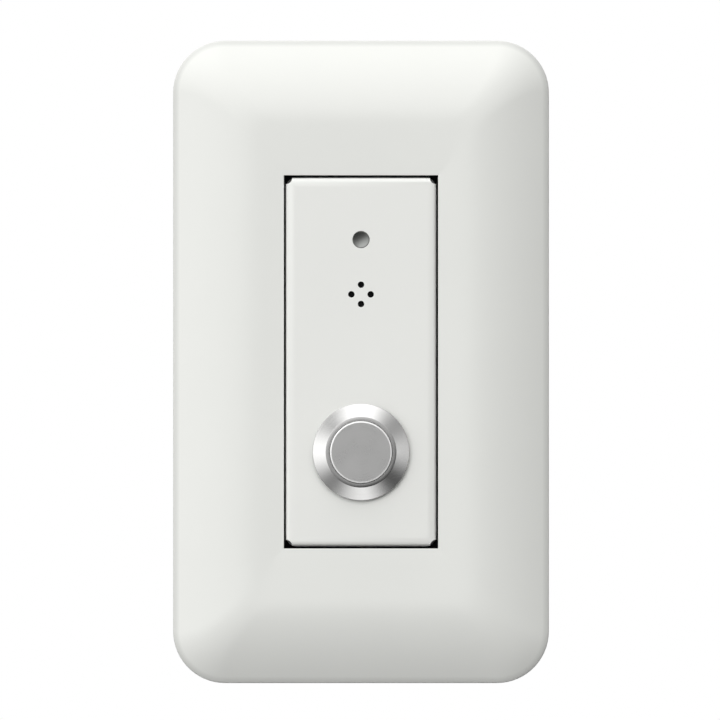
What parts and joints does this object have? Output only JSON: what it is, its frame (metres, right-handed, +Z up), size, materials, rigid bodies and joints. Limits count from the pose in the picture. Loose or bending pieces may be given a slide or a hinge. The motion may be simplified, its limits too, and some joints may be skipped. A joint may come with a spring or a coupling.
{
  "type": "flush wall push button station",
  "caption": "Flush wall station: a rounded cover plate and metal insert with a sprung metal push button, a recessed indicator and a beeper, on a yoke that screws to a wall box.",
  "frame": {"origin": "midway between the two wall-box screw holes, on the wall's surface", "axes": "+Z up, +X right for a person who faces the station, the front looks along -Y; the wall plane is y = 0 and +Y is into the wall box"},
  "size_m": [0.0702, 0.032, 0.12],
  "materials": {
    "block_plastic": "glass-filled nylon",
    "board_laminate": "solder resist",
    "buzzer_plastic": "moulded case",
    "can_aluminium": "drawn can",
    "chip_epoxy": "moulded epoxy",
    "contact_brass": "brass with silvered faces",
    "copper": "enamelled wire",
    "cover_plastic": "fine satin moulding",
    "ferrite": "sintered",
    "frame_plastic": "plain moulding",
    "header_nylon": "natural nylon",
    "housing_plastic": "spark-eroded texture",
    "lead_black": "PVC sleeve",
    "lead_red": "PVC sleeve",
    "led_epoxy": "water-clear epoxy",
    "lens_plastic": "smoked diffuser",
    "mesh_fabric": "woven acoustic mesh",
    "panel_finish": "fine powder coat",
    "seal_rubber": "matt black",
    "spring_steel": "drawn wire",
    "stainless": "turned and brushed",
    "terminal_plastic": "moulded polyamide",
    "tinned_pin": "tin plate",
    "zinc_steel": "bright zinc plate"
  },
  "bodies": {
    "station": {"bezel_gasket": "seal_rubber", "board_screws": "zinc_steel", "buzzer_base": "board_laminate", "buzzer_case": "buzzer_plastic", "buzzer_coil": "copper", "buzzer_core": "zinc_steel", "buzzer_diaphragm": "zinc_steel", "buzzer_gasket": "seal_rubber", "buzzer_magnet": "ferrite", "buzzer_pins": "tinned_pin", "cable_grommet": "seal_rubber", "capacitor_leads": "tinned_pin", "chip_legs": "tinned_pin", "chip_resistors": "chip_epoxy", "circuit_board": "board_laminate", "contact_block": "block_plastic", "control_chip": "chip_epoxy", "cover_plate": "cover_plastic", "drive_transistor": "chip_epoxy", "dust_mesh": "mesh_fabric", "filter_capacitor": "can_aluminium", "fixed_contacts": "contact_brass", "frame_screws": "zinc_steel", "housing_screws": "zinc_steel", "indicator_lens": "lens_plastic", "insert_panel": "panel_finish", "insert_standoffs": "zinc_steel", "lead_header": "header_nylon", "lead_header_pins": "tinned_pin", "lead_plug": "header_nylon", "led_lamp": "led_epoxy", "led_leads": "tinned_pin", "led_spacer": "block_plastic", "lock_washer": "stainless", "mounting_yoke": "zinc_steel", "plate_frame": "frame_plastic", "rear_cover": "housing_plastic", "rear_cover_screws": "zinc_steel", "rear_housing": "housing_plastic", "return_spring": "spring_steel", "switch_body": "stainless", "switch_lead_black": "lead_black", "switch_lead_red": "lead_red", "switch_nut": "stainless", "switch_terminals": "contact_brass", "terminal_block": "terminal_plastic", "terminal_cages": "tinned_pin", "terminal_pins": "tinned_pin", "terminal_screws": "zinc_steel", "wall_gasket": "seal_rubber"},
    "button": {"button_cap": "stainless", "cap_seal": "seal_rubber", "retaining_ring": "spring_steel", "plunger": "header_nylon", "contact_spring": "spring_steel"},
    "bridge": {"contact_bridge": "contact_brass"}
  },
  "joints": [
    {"name": "button_press", "type": "slide", "parent": "station", "child": "button", "axis": [0, 1, 0], "range_m": [0, 0.0018], "stiffness_N_per_m": 1000, "springref_m": -0.002, "deforming": ["return_spring"]},
    {"name": "bridge_close", "type": "slide", "parent": "station", "child": "bridge", "axis": [0, 1, 0], "range_m": [0, 0.00116], "deforming": ["contact_spring"]}
  ],
  "couplings": [
    {"joint": "bridge_close", "follows": "button_press", "ratio": 0.6389}
  ]
}
